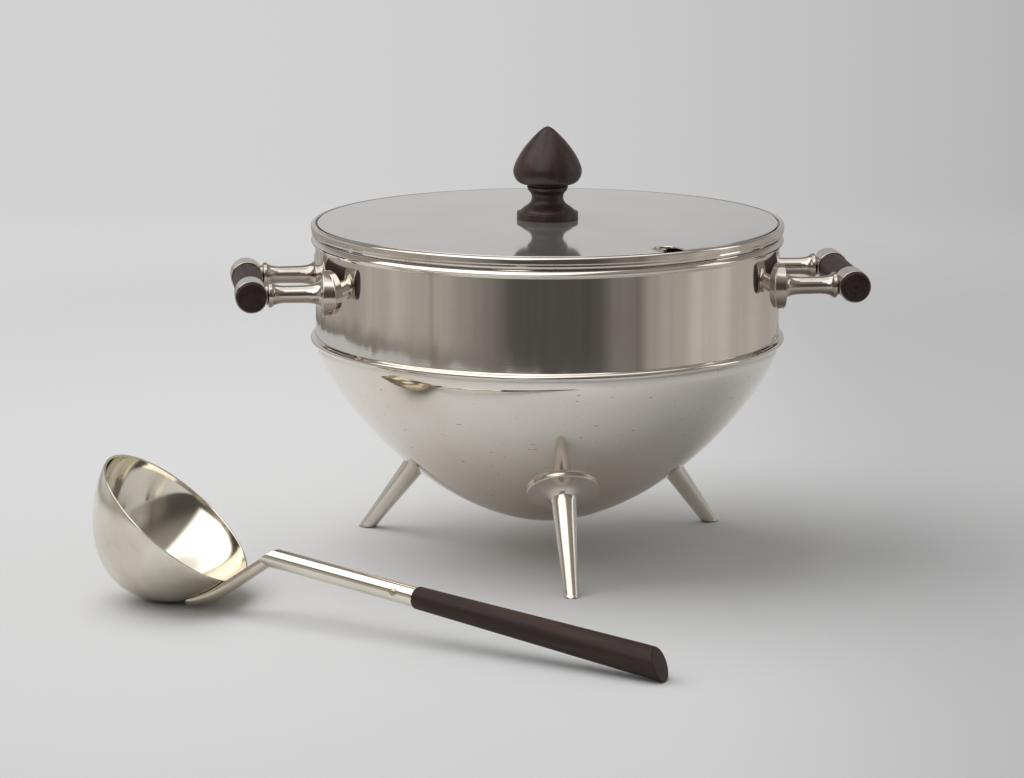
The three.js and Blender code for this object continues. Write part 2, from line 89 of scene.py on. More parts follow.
CUP_RADIUS, CUP_DEPTH, CUP_POWER, CUP_SHEET = 43.1, 42.6, 1.36, 1.1
NECK_X, NECK_LEAN, BEND_RISE, NECK_DEPTH = 43.4, radians(16), 25.0, 1.06
STEM_RADIUS, STEM_SLOPE, STEM_LENGTH = 4.75, radians(32.3), 84.0
GRIP_START, GRIP_END, GRIP_LENGTH, GRIP_SLANT = 5.3, 7.2, 130.3, radians(29)
RIVET_AT, RIVET_HEAD = 73.8, 1.8
LADLE_X, LADLE_Y = -188.5, -91.1  # middle of the cup's rim, from the tureen's axis
LADLE_YAW, LADLE_TILT, LADLE_ROLL = radians(-48.6), radians(36.7), radians(-19.2)

# Where the camera is from the tureen's axis, how far it looks down and turns in degrees, and its lens
CAMERA_FROM_AXIS = Vector((-214.9, -1875.2, 449.7))
CAMERA_PITCH, CAMERA_TURN, CAMERA_LENS = 11.035, -6.0, 134.26

STEPS, HANDLE_STEPS = 288, 96  # facets around the body, and around the parts of a handle

# ---------------------------------------------------------------- outlines


def arc(centre_r, centre_z, radius, start, end, count=8):
    """Points of an arc from one angle to another, in degrees, counter-clockwise if end > start."""
    angles = [radians(start + (end - start) * i / count) for i in range(count + 1)]
    return [(centre_r + radius * cos(a), centre_z + radius * sin(a)) for a in angles]


def rounded(corners, count=5):
    """An outline of (r, z) or (r, z, fillet) corners, each fillet drawn as an arc."""
    points = []
    total = len(corners)
    for i, corner in enumerate(corners):
        fillet = corner[2] if len(corner) > 2 else 0
        here = Vector(corner[:2])
        if not fillet:
            points.append(tuple(here))
            continue
        to_last = (Vector(corners[i - 1][:2]) - here).normalized()
        to_next = (Vector(corners[(i + 1) % total][:2]) - here).normalized()
        half = acos(max(-1.0, min(1.0, to_last.dot(to_next)))) / 2
        reach = fillet / tan(half)
        centre = here + (to_last + to_next).normalized() * fillet / sin(half)
        first = here + to_last * reach - centre
        last = here + to_next * reach - centre
        turn = first.angle_signed(last)
        for k in range(count + 1):
            angle = atan2(first.y, first.x) - turn * k / count
            points.append((centre.x + fillet * cos(angle), centre.y + fillet * sin(angle)))
    return points


def flowing(points, count=6):
    """A smooth line through points, with count steps between two of them."""
    ends = [points[0], *points, points[-1]]
    line = []
    for a, b, c, d in zip(ends, ends[1:], ends[2:], ends[3:]):
        for k in range(count):
            t = k / count
            line.append(tuple(
                0.5 * (2 * q + (r - p) * t + (2 * p - 5 * q + 4 * r - s) * t * t
                       + (3 * q - p - 3 * r + s) * t ** 3)
                for p, q, r, s in zip(a, b, c, d)))
    return [*line, tuple(points[-1])]


def bowl_point(fraction, inset=0.0):
    """Radius and height of the bowl at a fraction 0 (shoulder) to 1 (bottom)."""
    sink = sin(fraction * pi / 2)
    bulge = max(0.0, 1 - sink ** BOWL_SINK_POWER) ** (1 / BOWL_BULGE_POWER)
    return ((BOWL_RADIUS - inset) * bulge, SHOULDER_Z - (BOWL_DEPTH - inset) * sink)


def bowl_height(radius):
    """Height of the bowl's outer surface at a radius."""
    share = min(1.0, radius / BOWL_RADIUS)
    sink = (1 - share ** BOWL_BULGE_POWER) ** (1 / BOWL_SINK_POWER)
    return SHOULDER_Z - BOWL_DEPTH * sink


# ---------------------------------------------------------------- meshes


def lathe(outline, steps=STEPS, closed=False):
    """Turns an (r, z) outline about z. A point on the axis becomes one vertex."""
    points = []
    rings = []
    for r, z in outline:
        if r < 1e-6:
            rings.append([len(points)] * steps)
            points.append(Vector((0, 0, z)))
        else:
            rings.append(range(len(points), len(points) + steps))
            for i in range(steps):
                a = 2 * pi * i / steps
                points.append(Vector((r * cos(a), r * sin(a), z)))
    faces = []
    pairs = list(zip(rings, rings[1:]))
    if closed:
        pairs.append((rings[-1], rings[0]))
    for low, high in pairs:
        for i in range(steps):
            j = (i + 1) % steps
            corners = [low[i], low[j], high[j], high[i]]
            face = [c for k, c in enumerate(corners) if c != corners[k - 1]]
            if len(face) > 2:
                faces.append(face)
    return points, faces


def loft(rings):
    """A closed skin over rings of equal length, with a flat face at each end."""
    count = len(rings[0])
    points = [p for ring in rings for p in ring]
    faces = []
    for k in range(len(rings) - 1):
        low, high = k * count, (k + 1) * count
        for i in range(count):
            j = (i + 1) % count
            faces.append([low + i, low + j, high + j, high + i])
    faces.append(list(range(count))[::-1])
    faces.append(list(range(len(points) - count, len(points))))
    return points, faces


def solid(name, shape, place=PLACE):
    """A mesh object of a shape in millimetres, moved by place."""
    points, faces = shape
    mesh = bpy.data.meshes.new(name)
    mesh.from_pydata([(place @ Vector(p)) * MM for p in points], [], faces)
    mesh.validate()
    obj = bpy.data.objects.new(name, mesh)
    bpy.context.scene.collection.objects.link(obj)
    bpy.context.view_layer.objects.active = obj
    fix_normals(obj)
    return obj


def fix_normals(obj):
    """Joins points that coincide and turns every face outwards."""
    work = bmesh.new()
    work.from_mesh(obj.data)
    bmesh.ops.remove_doubles(work, verts=work.verts, dist=1e-7)
    bmesh.ops.recalc_face_normals(work, faces=work.faces)
    work.to_mesh(obj.data)
    work.free()


def combine(obj, other, operation):
    """Joins or cuts obj by other, which is used up."""
    step = obj.modifiers.new("combine", "BOOLEAN")
    step.operation = operation
    step.solver = "EXACT"
    step.object = other
    graph = bpy.context.evaluated_depsgraph_get()
    made = bpy.data.meshes.new_from_object(obj.evaluated_get(graph))
    obj.modifiers.clear()
    obj.data = made
    bpy.data.objects.remove(other)
    return obj


def piece(obj, body, slot, material, *nodes, crease=34.0):
    """Finishes a mesh: smooth faces, its material, its body, and the CAD nodes it stands for."""
    for face in obj.data.polygons:
        face.use_smooth = True
    obj.data.set_sharp_from_angle(angle=radians(crease))
    evened = obj.modifiers.new("evened", "WEIGHTED_NORMAL")
    evened.keep_sharp = True
    obj.data.materials.clear()
    obj.data.materials.append(material)
    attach(obj, body)
    if nodes:
        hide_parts(*nodes)
    return obj


def copy_of(obj, name, move):
    """A copy of a mesh object, moved by a matrix in millimetres about the tureen's axis."""
    twin = bpy.data.objects.new(name, obj.data.copy())
    metres = PLACE @ move @ PLACE.inverted()
    metres.translation *= MM
    twin.data.transform(metres)
    bpy.context.scene.collection.objects.link(twin)
    return twin


# ---------------------------------------------------------------- material helpers


class Nodes:
    """A short way to write a node tree."""

    def __init__(self, tree):
        self.tree = tree
        self.tree.nodes.clear()

    def add(self, kind, settings=None, **inputs):
        node = self.tree.nodes.new(kind)
        for key, value in (settings or {}).items():
            setattr(node, key, value)
        for key, value in inputs.items():
            name = key.replace("_", " ")
            socket = node.inputs[int(key[1:])] if key[1:].isdigit() else node.inputs[name]
            self.put(socket, value)
        return node

    def put(self, socket, value):
        if isinstance(value, bpy.types.NodeSocket):
            self.tree.links.new(value, socket)
        else:
            socket.default_value = value

    def math(self, operation, a, b=0.0):
        return self.add("ShaderNodeMath", {"operation": operation}, i0=a, i1=b).outputs[0]

    def vector(self, operation, a, b):
        node = self.add("ShaderNodeVectorMath", {"operation": operation}, i0=a, i1=tuple(b))
        return node.outputs[0]

    def between(self, value, low, high, to_low=0.0, to_high=1.0):
        """A smooth step from to_low to to_high as value goes from low to high."""
        node = self.add("ShaderNodeMapRange", {"interpolation_type": "SMOOTHSTEP"},
                        Value=value, From_Min=low, From_Max=high, To_Min=to_low, To_Max=to_high)
        return node.outputs[0]

    def mix(self, amount, a, b, blend="MIX"):
        node = self.add("ShaderNodeMix", {"data_type": "RGBA", "blend_type": blend})
        self.put(node.inputs[0], amount)
        self.put(node.inputs[6], a)
        self.put(node.inputs[7], b)
        return node.outputs[2]

    def noise(self, vector, scale, detail=3.0, rough=0.5, distortion=0.0):
        node = self.add("ShaderNodeTexNoise", Vector=vector, Scale=scale, Detail=detail,
                        Roughness=rough, Distortion=distortion)
        return node.outputs[0]

    def grey(self, value):
        """A colour of three equal parts."""
        return self.add("ShaderNodeCombineColor", Red=value, Green=value, Blue=value).outputs[0]

    def ramp(self, value, stops):
        """A colour ramp through (place, colour) or (place, brightness) stops."""
        node = self.add("ShaderNodeValToRGB", Fac=value)
        ramp = node.color_ramp
        while len(ramp.elements) < len(stops):
            ramp.elements.new(0.5)
        for element, (at, colour) in zip(ramp.elements, stops):
            element.position = at
            element.color = (*colour, 1.0) if hasattr(colour, "__len__") else (colour,) * 3 + (1.0,)
        return node.outputs[0]

    def place(self):
        return self.add("ShaderNodeTexCoord").outputs["Object"]

    def bump(self, height, strength, distance, over=None):
        """A bump of a height map, over another bump if there is one."""
        below = {"Normal": over} if over else {}
        return self.add("ShaderNodeBump", Strength=strength, Distance=distance, Height=height,
                        **below).outputs[0]

    def surface(self, **inputs):
        """The material's shader, from its inputs."""
        shader = self.add("ShaderNodeBsdfPrincipled", **inputs)
        self.add("ShaderNodeOutputMaterial", Surface=shader.outputs[0])


def blank_material(name):
    material = bpy.data.materials.new(name)
    material.use_nodes = True
    return material, Nodes(material.node_tree)


# ---------------------------------------------------------------- materials

DIRT_AND_SHADE_COLOUR = (0.17, 0.12, 0.09, 1)  # dirt in the crevices, and painted shade there
SHADE_BELOW_COLOUR = (0.26, 0.20, 0.15, 1)  # painted shade, in brown, on the faces that look down
PITTED, SCRATCHED = (0.12, 0.10, 0.08, 1), (0.16, 0.13, 0.10, 1)
CREVICE_REACH = 2.2 * MM
BRUSH_DEPTH, DENT_DEPTH, PORE_DEPTH = 0.03 * MM, 0.6 * MM, 0.06 * MM

# How fast the patterns repeat, in cells to a metre
DRIFT_SCALE, FINE_SCALE, DENT_SCALE, PIT_SCALE = 17.0, 160.0, 26.0, 110.0
GRAIN_SCALE, BAND_SCALE, BRASS_SCALE = 1500.0, 260.0, 300.0

EBONY, EBONY_BROWN = (0.022, 0.0110, 0.0095, 1), (0.040, 0.0190, 0.0150, 1)
EBONY_PORE = (0.014, 0.0085, 0.0075, 1)
BRASS_BRIGHT, BRASS_DULL = (0.70, 0.60, 0.42, 1), (0.42, 0.34, 0.24, 1)


def turned_lines(n, angle, height, along, across, shift, detail, rough):
    """Noise drawn out along the turning: along and across are its scales round and up the axis."""
    stretched = n.add("ShaderNodeCombineXYZ", X=n.math("MULTIPLY", angle, along),
                      Y=n.math("MULTIPLY", height, across), Z=shift).outputs[0]
    return n.noise(stretched, 1.0, detail, rough)


def crevice_dirt_and_shade(n, drift):
    """How much dirt and painted shade lie at a place: most in narrow gaps that an occlusion test finds
    shaded, and less where the drift is low.
    """
    open_share = n.add("ShaderNodeAmbientOcclusion", {"samples": 8}, Distance=CREVICE_REACH).outputs["AO"]
    return n.math("MULTIPLY", n.between(open_share, 0.3, 0.78, 0.85, 0.0),
                  n.between(drift, 0.25, 0.6, 0.6, 1.0))


def shade_on_faces_below(n, most):
    """Painted shade: rises to most on the faces that look down."""
    normal = n.add("ShaderNodeNewGeometry").outputs["Normal"]
    parts = n.add("ShaderNodeSeparateXYZ", Vector=normal)
    return n.between(parts.outputs[2], -0.65, 0.05, most, 0.0)


def pit_spots(n, place):
    """Small round spots in a few of the cells of a cell pattern."""
    cells = n.add("ShaderNodeTexVoronoi", {"feature": "F1"}, Vector=place, Scale=PIT_SCALE)
    draw = n.add("ShaderNodeSeparateColor", Color=cells.outputs["Color"]).outputs[0]
    return n.math("MULTIPLY", n.between(draw, 0.965, 0.98),
                  n.between(cells.outputs["Distance"], 0.035, 0.065, 1.0, 0.0))


def silver(name, tint, stain, roughness, brushing=0.0, wear=0.3, dents=0.0, pits=0.0, scratches=0.0,
           lower_shade=None, film=0.0, under=0.0):
    """Silver plate, a tint that drifts to a stain, with dirt and painted shade in its crevices.

    brushing, dents, pits and scratches are the strengths of fine turned lines, shallow dents, small
    dark pits and short turned scratches. wear is how far the roughness varies over small distances.
    Below a height, a darker tint given as (tint, low, high) in metres takes over: painted shade, darker
    towards the bottom. film is how much of the surface is a pale haze that does not mirror. under is how
    much painted shade, in brown, the faces that look down get.
    """
    material, n = blank_material(name)
    place = n.place()
    from_axis = n.add("ShaderNodeSeparateXYZ", Vector=n.vector("SUBTRACT", place, AXIS * MM))
    angle = n.math("ARCTAN2", from_axis.outputs[1], from_axis.outputs[0])
    height = from_axis.outputs[2]
    drift = n.noise(place, DRIFT_SCALE, 4.0, 0.6)
    fine = n.noise(place, FINE_SCALE, 3.0, 0.6)

    colour = n.mix(n.between(drift, 0.35, 0.75), (*tint, 1), (*stain, 1))
    # painted shade: the colour darkens towards the bottom, below a given height
    if lower_shade:
        shade, low, high = lower_shade
        colour = n.mix(n.between(height, low, high, 1.0, 0.0), colour, (*shade, 1), "MULTIPLY")
    # painted shade: the faces that look down are browned
    if under:
        colour = n.mix(shade_on_faces_below(n, under), colour, SHADE_BELOW_COLOUR)
    # dirt and painted shade darken the crevices, which an occlusion test finds
    colour = n.mix(crevice_dirt_and_shade(n, drift), colour, DIRT_AND_SHADE_COLOUR)
    if pits:
        colour = n.mix(n.math("MULTIPLY", pit_spots(n, place), pits), colour, PITTED)
    if scratches:
        marks = n.between(turned_lines(n, angle, height, 26.0, 1300.0, 3.7, 1.0, 0.5), 0.745, 0.765)
        colour = n.mix(n.math("MULTIPLY", marks, scratches), colour, SCRATCHED)

    rough = n.math("ADD", n.between(drift, 0.3, 0.8, roughness * 0.75, roughness * 1.3),
                   n.math("MULTIPLY", n.math("SUBTRACT", fine, 0.5), wear * roughness))
    relief = {}
    if brushing:
        lines = turned_lines(n, angle, height, 2.5, 900.0, 0.0, 2.0, 0.7)
        relief["Normal"] = n.bump(lines, brushing, BRUSH_DEPTH)
    if dents:
        soft = n.noise(place, DENT_SCALE, 1.0, 0.5)
        relief["Normal"] = n.bump(soft, dents, DENT_DEPTH, relief.get("Normal"))
    n.surface(Base_Color=colour, Metallic=1.0 - film, Roughness=rough, **relief)
    return material


def wood(name, along, origin, shine=0.32):
    """Turned ebony: nearly black brown, in bands, with fine pores along the grain."""
    material, n = blank_material(name)
    turn = Vector(along).rotation_difference(Vector((0, 0, 1))).to_euler()
    upright = n.add("ShaderNodeVectorRotate", {"rotation_type": "EULER_XYZ"},
                    Vector=n.vector("SUBTRACT", n.place(), origin), Rotation=tuple(turn)).outputs[0]
    drawn_out = n.vector("MULTIPLY", upright, (1.0, 1.0, 0.06))
    grain = n.noise(drawn_out, GRAIN_SCALE, 4.0, 0.65)
    bands = n.noise(drawn_out, BAND_SCALE, 3.0, 0.6, 0.6)
    colour = n.mix(n.between(bands, 0.35, 0.7), EBONY, EBONY_BROWN)
    colour = n.mix(n.between(grain, 0.55, 0.75, 0.0, 0.5), colour, EBONY_PORE)
    smoothing = shine * 0.8
    rough = n.between(grain, 0.3, 0.75, 0.70 - smoothing, 0.84 - smoothing)
    n.surface(Base_Color=colour, Roughness=rough, Specular_IOR_Level=shine,
              Normal=n.bump(grain, 0.25, PORE_DEPTH))
    return material


def plain_brass(name):
    """Brass that is bright in places and dull in others."""
    material, n = blank_material(name)
    drift = n.noise(n.place(), BRASS_SCALE, 3.0, 0.6)
    colour = n.mix(n.between(drift, 0.35, 0.7), BRASS_BRIGHT, BRASS_DULL)
    n.surface(Base_Color=colour, Metallic=1.0, Roughness=n.between(drift, 0.3, 0.8, 0.2, 0.42))
    return material


# In these finishes, the darker tint low on the bowl and the brown on faces that look down are painted
# shade.
POLISHED = silver("polished_silver", (0.90, 0.86, 0.80), (0.82, 0.77, 0.70), 0.05,
                  brushing=0.06, dents=0.05)
LID_SILVER = silver("lid_silver", (0.785, 0.765, 0.75), (0.74, 0.71, 0.69), 0.07,
                    wear=0.2, film=0.1)
SATIN = silver("satin_silver", (0.86, 0.815, 0.75), (0.81, 0.75, 0.67), 0.085,
               brushing=0.35, dents=0.05, pits=0.6, scratches=0.8,
               lower_shade=((0.80, 0.74, 0.67), 0.022, 0.085))
HANDLE_SILVER = silver("handle_silver", (0.70, 0.64, 0.58), (0.50, 0.44, 0.38), 0.16,
                       dents=0.14, under=0.9)
RIM_SILVER = silver("rim_silver", (0.82, 0.77, 0.71), (0.66, 0.60, 0.53), 0.075,
                    brushing=0.2, dents=0.08)
FOOT_SILVER = silver("foot_silver", (0.78, 0.725, 0.65), (0.64, 0.575, 0.50), 0.17,
                     dents=0.12)
LADLE_SILVER = silver("ladle_silver", (0.88, 0.845, 0.75), (0.76, 0.70, 0.58), 0.10,
                      wear=0.4, dents=0.10, pits=0.7)
LADLE_OUTSIDE = silver("ladle_outside", (0.88, 0.84, 0.74), (0.58, 0.50, 0.38), 0.22,
                       wear=0.5, dents=0.12, pits=0.8, under=0.1)
NECK_SILVER = silver("neck_silver", (0.82, 0.77, 0.67), (0.60, 0.52, 0.41), 0.18,
                     wear=0.5, dents=0.12, under=0.35)
BRASS = plain_brass("plain_brass")

# ---------------------------------------------------------------- body of the tureen


def make_bowl():
    outside = [bowl_point(i / 90) for i in range(91)][::-1]
    inside = [bowl_point(i / 60, SHEET) for i in range(61)]
    lip = rounded([
        (BOWL_RADIUS, SHOULDER_Z),
        (BOWL_RADIUS, BOWL_TOP_Z, 0.4),
        (BOWL_RADIUS - SHEET, BOWL_TOP_Z, 0.4),
        (BOWL_RADIUS - SHEET, SHOULDER_Z),
    ], 3)[1:-1]
    outline = [(0, outside[0][1]), *outside[1:], *lip, *inside[:-1], (0, inside[-1][1])]
    piece(solid("bowl_shell", lathe(outline)), "tureen", "satin_silver", SATIN, "bowl")


def make_collar():
    inside = BAND_RADIUS - SHEET
    outline = rounded([
        (inside, BOWL_TOP_Z + 0.1, 0.3),
        (BAND_RADIUS, BOWL_TOP_Z + 0.1, 0.3),
        (BAND_RADIUS, BAND_TOP_Z + 0.2, 0.3),
        (inside, BAND_TOP_Z + 0.2, 0.3),
    ])
    piece(solid("collar_shell", lathe(outline, closed=True)), "tureen", "polished_silver", POLISHED,
          "collar_band")


def make_bead(name, node, radius, z, height, top_power=1.0):
    """A half-round wire with a small flat flange above and below it.

    top_power is 1 for a round upper half, and more for one that is straighter, like a chamfer.
    """
    inside = BAND_RADIUS + 0.05
    flange_edge = inside + 0.45
    foot = inside + 0.5
    half = height / 2
    round_half = half * 0.86
    round_part = []
    for a in range(-84, 85, 6):
        out, up = cos(radians(a)), sin(radians(a))
        if a > 0:
            out, up = out ** top_power, up ** top_power
        round_part.append((foot + (radius - foot) * out, z + round_half * up))
    outline = [(inside, z - half), (flange_edge, z - half), *round_part, (flange_edge, z + half),
               (inside, z + half)]
    piece(solid(name, lathe(outline, closed=True)), "tureen", "polished_silver", RIM_SILVER, node)


def make_rim():
    """The ring on top: a stepped outside, a rounded top, and the ledge that the lid rests on."""
    seat = SEAT_RADIUS + 0.1
    bottom = BAND_TOP_Z + 0.3
    ledge = LID_Z - 0.2
    outline = rounded([
        (THROAT_RADIUS, bottom, 0.3),
        (RIM_RADIUS - 1.3, bottom, 0.2),
        (RIM_RADIUS - 0.5, bottom + 0.5, 0.4),
        (RIM_RADIUS - 0.3, bottom + 1.2, 0.4),
        (RIM_RADIUS - 0.5, bottom + 2.1, 0.2),
        (RIM_RADIUS, bottom + 2.5, 0.3),
        (RIM_RADIUS, RIM_TOP_Z, 1.5),
        (seat, RIM_TOP_Z, 0.8),
        (seat, ledge, 0.2),
        (THROAT_RADIUS, ledge, 0.3),
    ])
    piece(solid("rim_ring_turned", lathe(outline, closed=True)), "tureen", "polished_silver", RIM_SILVER,
          "rim_ring")


# ---------------------------------------------------------------- handles, made for the +X side


def along_x(shape, side):
    """Lays a shape turned about z along the arm's axis."""
    points, faces = shape
    move = Matrix.Translation((0, side * ARM_SIDE, ARM_Z)) @ Matrix.Rotation(pi / 2, 4, "Y")
    return [move @ p for p in points], faces


def along_y(shape):
    """Lays a shape turned about z along the rod's axis, its top towards -Y."""
    points, faces = shape
    move = Matrix.Translation((ROD_X, 0, ARM_Z)) @ Matrix.Rotation(pi / 2, 4, "X")
    return [move @ p for p in points], faces


def escutcheon_shape(side):
    """A flat-faced disc whose back fits the round band, with a thin line of solder."""
    steps = HANDLE_STEPS
    face = rounded([(0, DISC_FACE), (DISC_RADIUS, DISC_FACE, 0.5), (DISC_RADIUS, DISC_FACE - 0.7)], 5)
    points, faces = lathe(face, steps)
    rings = [(DISC_RADIUS, 0.5), (DISC_RADIUS + 0.15, 0.2), (DISC_RADIUS + 0.45, -0.05)]
    start = len(points)
    for r, off in rings:
        for i in range(steps):
            a = 2 * pi * i / steps
            up, across = r * cos(a), r * sin(a)
            y = across + side * ARM_SIDE
            points.append(Vector((up, across, sqrt(BAND_RADIUS ** 2 - y * y) + off)))
    for k in range(-1, len(rings) - 1):
        for i in range(steps):
            j = (i + 1) % steps
            a, b = start + k * steps, start + (k + 1) * steps
            faces.append([a + i, a + j, b + j, b + i])
    faces.append([start + (len(rings) - 1) * steps + i for i in range(steps)])
    return along_x((points, faces), side)


def arm_outline():
    """(radius, place along the arm): a flared foot on the disc, a straight part, and a ringed end."""
    start, collar = DISC_FACE - 0.1, ROD_X - SLEEVE_RADIUS - 1.5
    foot = flowing([(7.6, start + 0.1), (6.6, start + 0.9), (5.5, start + 2.4), (4.75, start + 4.8),
                    (ARM_RADIUS, start + 8.0)], 5)
    end = flowing([(ARM_RADIUS - 0.1, collar - 6.5), (4.6, collar - 4.0), (5.2, collar - 2.0),
                   (6.1, collar - 0.7)], 5)
    ring = rounded([(6.35, collar - 0.6), (6.5, collar + 1.0, 0.5), (5.2, collar + 1.4, 0.3),
                    (4.6, collar + 3.4)], 4)
    return [(0, start), (7.6, start), *foot[1:], *end, *ring, (0, collar + 3.4)]


def make_handles():
    """Four arms and four discs, each a copy of one pattern. The arm is joined to its sleeve and bored."""
    arm = solid("arm_pattern", along_x(lathe(arm_outline(), HANDLE_STEPS), -1))
    sleeve_outline = rounded([(0, -SLEEVE_HALF), (SLEEVE_RADIUS, -SLEEVE_HALF, 0.45),
                              (SLEEVE_RADIUS, SLEEVE_HALF, 0.45), (0, SLEEVE_HALF)], 4)
    sleeve = solid("sleeve_pattern", along_y(lathe(sleeve_outline, HANDLE_STEPS)))
    sleeve.data.transform(Matrix.Translation((0, -ARM_SIDE * MM, 0)))
    combine(arm, sleeve, "UNION")
    bore, past_rod = ROD_RADIUS + 0.12, 60
    bore_outline = [(0, -past_rod), (bore, -past_rod), (bore, past_rod), (0, past_rod)]
    combine(arm, solid("bore_pattern", along_y(lathe(bore_outline, HANDLE_STEPS))), "DIFFERENCE")
    mirrored = Matrix.Scale(-1, 4, (0, 1, 0))
    half_turn = Matrix.Rotation(pi, 4, "Z")
    places = {
        ("right", "front"): Matrix.Identity(4),
        ("right", "rear"): mirrored,
        ("left", "rear"): half_turn,
        ("left", "front"): half_turn @ mirrored,
    }
    disc = solid("disc_pattern", escutcheon_shape(-1))
    for (hand, end), move in places.items():
        name = f"{hand}_handle_{end}"
        for pattern, word in ((arm, "arm"), (disc, "escutcheon")):
            made = copy_of(pattern, f"{name}_{word}_turned", move)
            if move.determinant() < 0:
                made.data.flip_normals()
            piece(made, "tureen", "polished_silver", HANDLE_SILVER, f"{name}_{word}")
    for pattern in (arm, disc):
        bpy.data.objects.remove(pattern)


def rod_end(grooves):
    """Half an outline of the rod, as far as the axis at one end; grooves are turned in the end's face."""
    end = ROD_HALF
    outline = [(ROD_RADIUS, end - 1.6), *arc(ROD_RADIUS - 1.0, end - 1.2, 1.0, 0, 80, 6)]
    for r in grooves:
        outline += [(r + 0.3, end - 0.2), (r + 0.08, end - 0.4), (r - 0.08, end - 0.4),
                    (r - 0.3, end - 0.25)]
    if grooves:
        outline += [(0.9, end - 0.3), (0.5, end - 0.9), (0, end - 1.1)]
    else:
        outline += [(3.0, end - 0.1), (0, end)]
    return outline


def make_rods():
    """The right rod has turned grooves in its front end; the left one is plain at both ends."""
    for hand, turn, grooves in (("right", 0.0, (5.4, 3.6)), ("left", pi, ())):
        rear = [(r, -z) for r, z in rod_end(())][::-1]
        pattern = solid(f"{hand}_rod_pattern", along_y(lathe(rear + rod_end(grooves), HANDLE_STEPS)))
        made = copy_of(pattern, f"{hand}_handle_rod_turned", Matrix.Rotation(turn, 4, "Z"))
        bpy.data.objects.remove(pattern)
        grain = wood(f"{hand}_rod_ebony", (0, 1, 0), middle(f"{hand}_handle_rod") * MM)
        piece(made, "tureen", "ebony", grain, f"{hand}_handle_rod")


# ---------------------------------------------------------------- feet, made for the +X side


def flange_frame():
    """The flange's centre on the bowl, and the directions out of the bowl and along its slope."""
    slope = bowl_height(FLANGE_AT + 0.5) - bowl_height(FLANGE_AT - 0.5)
    tilt = atan2(slope, 1.0)
    centre = Vector((FLANGE_AT, 0, bowl_height(FLANGE_AT)))
    return centre, Vector((sin(tilt), 0, -cos(tilt))), Vector((cos(tilt), 0, sin(tilt)))


def make_flange(angles):
    """A flared disc whose back follows the bowl, with a thin line of solder round it."""
    centre, out, beside = flange_frame()

    def at(r, angle, off):
        return centre + beside * r * cos(angle) + Vector((0, r * sin(angle), 0)) + out * off

    def on_bowl(r, angle):
        """How far along the flange's axis the bowl's surface is, at a place on the flange."""
        low, high = -20.0, 20.0
        for _ in range(40):
            off = (low + high) / 2
            point = at(r, angle, off)
            inside = point.z > bowl_height(min(hypot(point.x, point.y), BOWL_RADIUS))
            low, high = (off, high) if inside else (low, off)
        return low

    edge = FLANGE_EDGE
    flare = flowing([(15.6, edge + 0.15), (12.2, edge + 0.55), (9.6, edge + 1.3), (8.1, edge + 2.3),
                     (7.2, edge + 3.3), (LEG_TOP + 0.2, FLANGE_HEIGHT)], 5)
    rim = rounded([(FLANGE_RADIUS, -3), (FLANGE_RADIUS, edge, 0.85), flare[0]], 6)[1:]
    solder = [(FLANGE_RADIUS - 0.5, -0.6), (FLANGE_RADIUS + 0.25, -0.05), (FLANGE_RADIUS, 0.35)]
    rings = [[at(r, a, on_bowl(r, a) + off) for a in angles] for r, off in solder]
    rings += [[at(r, a, off) for a in angles] for r, off in rim + flare[1:]]
    return loft(rings)


def make_leg(angles):
    """A tapered leg with a small ring at its foot, which is cut level with the floor."""
    centre, out, _ = flange_frame()
    top = centre + out * FLANGE_HEIGHT
    foot = Vector((FOOT_SPREAD, 0, 0))
    lean = atan2(foot.x - top.x, top.z)
    length = (foot - top).length
    down = (foot - top).normalized()
    side = Vector((cos(lean), 0, sin(lean)))
    widths = flowing([(LEG_TOP + 0.12, 0.0), (6.2, 1.6), (6.0, 4.0), (5.6, 0.2 * length),
                      (4.95, 0.45 * length), (4.2, 0.75 * length), (3.75, length - 2.4)], 5)
    widths += [(LEG_FOOT + 0.02, length - 1.7), (LEG_FOOT + 0.16, length - 1.2),
               (LEG_FOOT + 0.2, length - 0.8), (LEG_FOOT + 0.1, length - 0.3), (LEG_FOOT - 0.2, length)]
    rings = []
    for r, z in widths:
        level = 1.0 if z > length - 3 else 0.0
        rings.append([top + down * (z + level * r * cos(a) * tan(lean)) + side * r * cos(a)
                      + Vector((0, r * sin(a), 0)) for a in angles])
    return loft(rings)


def make_feet():
    steps = 128
    angles = [2 * pi * i / steps for i in range(steps)]
    flange, leg = make_flange(angles), make_leg(angles)
    for hand, angle in FOOT_ANGLES.items():
        place = PLACE @ Matrix.Rotation(radians(angle), 4, "Z")
        piece(solid(f"{hand}_foot_flange_turned", flange, place), "tureen", "foot_silver", FOOT_SILVER,
              f"{hand}_foot_flange")
        piece(solid(f"{hand}_foot_leg_turned", leg, place), "tureen", "foot_silver", FOOT_SILVER,
              f"{hand}_foot_leg", crease=50.0)


# ---------------------------------------------------------------- lid


def notch_path(half, outer):
    """The U of the notch in its own frame, x outwards, from one mouth corner round to the other."""
    turn = arc(NOTCH_RADIUS, 0, half, -90, -270, 24)
    return [(outer, -half), *turn, (outer, half)]


def notch_cutter(half, low, high):
    """A U-shaped block that cuts the notch, between two heights."""
    outline = notch_path(half, LID_RADIUS + 8)
    rings = [[Vector((x, y, z)) for x, y in outline] for z in (low, high)]
    return solid("notch_cutter", loft(rings), PLACE @ Matrix.Rotation(radians(NOTCH_ANGLE), 4, "Z"))


